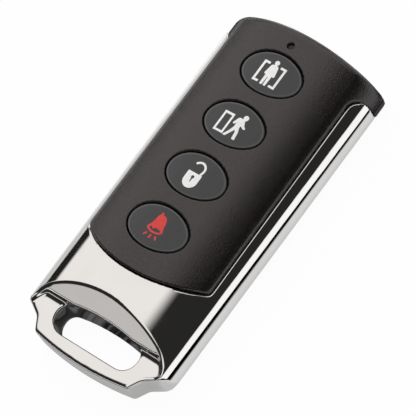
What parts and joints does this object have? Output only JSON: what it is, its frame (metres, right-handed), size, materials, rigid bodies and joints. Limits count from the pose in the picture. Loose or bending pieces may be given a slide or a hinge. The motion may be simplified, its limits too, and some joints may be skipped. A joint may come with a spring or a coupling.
{
  "type": "alarm key fob",
  "caption": "Flat alarm key fob: crowned matte black cover with oval push keys, held in a mirror-bright frame whose lower bar has a long key-ring slot.",
  "frame": {"origin": "middle of the footprint, on the flat back", "axes": "+Z out of the front, +Y along the fob to the head with the status light, X across"},
  "size_m": [0.0348, 0.0744, 0.0124],
  "materials": {
    "soft_black": "soft-touch coating with a fine grain",
    "bright_chrome": "polished mirror plating",
    "back_black": "fine moulded texture",
    "key_grey": "satin silicone",
    "mat_silicone": "satin silicone",
    "clear_plastic": "clear polished",
    "board_green": "solder resist",
    "switch_black": "moulded",
    "plunger_cream": "moulded",
    "chip_black": "moulded epoxy",
    "crystal_can": "plain metal lid",
    "chip_brown": "ceramic",
    "copper": "etched copper",
    "led_white": "clear resin",
    "cell_steel": "plain stainless",
    "gasket_grey": "moulded",
    "clip_steel": "spring steel",
    "contact_brass": "plated",
    "screw_dark": "black oxide"
  },
  "bodies": {
    "case": {"front_cover": "soft_black", "chrome_frame": "bright_chrome", "rear_cover": "back_black", "keypad_web": "mat_silicone", "light_pipe": "clear_plastic", "circuit_board": "board_green", "tact_switches": "switch_black", "microcontroller": "chip_black", "radio_chip": "chip_black", "crystal": "crystal_can", "chip_parts": "chip_brown", "antenna": "copper", "status_led": "led_white", "cell_can": "cell_steel", "cell_cap": "cell_steel", "cell_gasket": "gasket_grey", "positive_clip": "clip_steel", "negative_contact": "contact_brass", "case_screws": "screw_dark"},
    "stay_key": {"key_stay": "key_grey", "plunger_stay": "plunger_cream"},
    "away_key": {"key_away": "key_grey", "plunger_away": "plunger_cream"},
    "disarm_key": {"key_disarm": "key_grey", "plunger_disarm": "plunger_cream"},
    "panic_key": {"key_panic": "key_grey", "plunger_panic": "plunger_cream"}
  },
  "joints": [
    {"name": "stay_press", "type": "slide", "parent": "case", "child": "stay_key", "axis": [0, 0, -1], "range_m": [0, 0.0004], "stiffness_N_per_m": 4000},
    {"name": "away_press", "type": "slide", "parent": "case", "child": "away_key", "axis": [0, 0, -1], "range_m": [0, 0.0004], "stiffness_N_per_m": 4000},
    {"name": "disarm_press", "type": "slide", "parent": "case", "child": "disarm_key", "axis": [0, 0, -1], "range_m": [0, 0.0004], "stiffness_N_per_m": 4000},
    {"name": "panic_press", "type": "slide", "parent": "case", "child": "panic_key", "axis": [0, 0, -1], "range_m": [0, 0.0004], "stiffness_N_per_m": 4000}
  ]
}
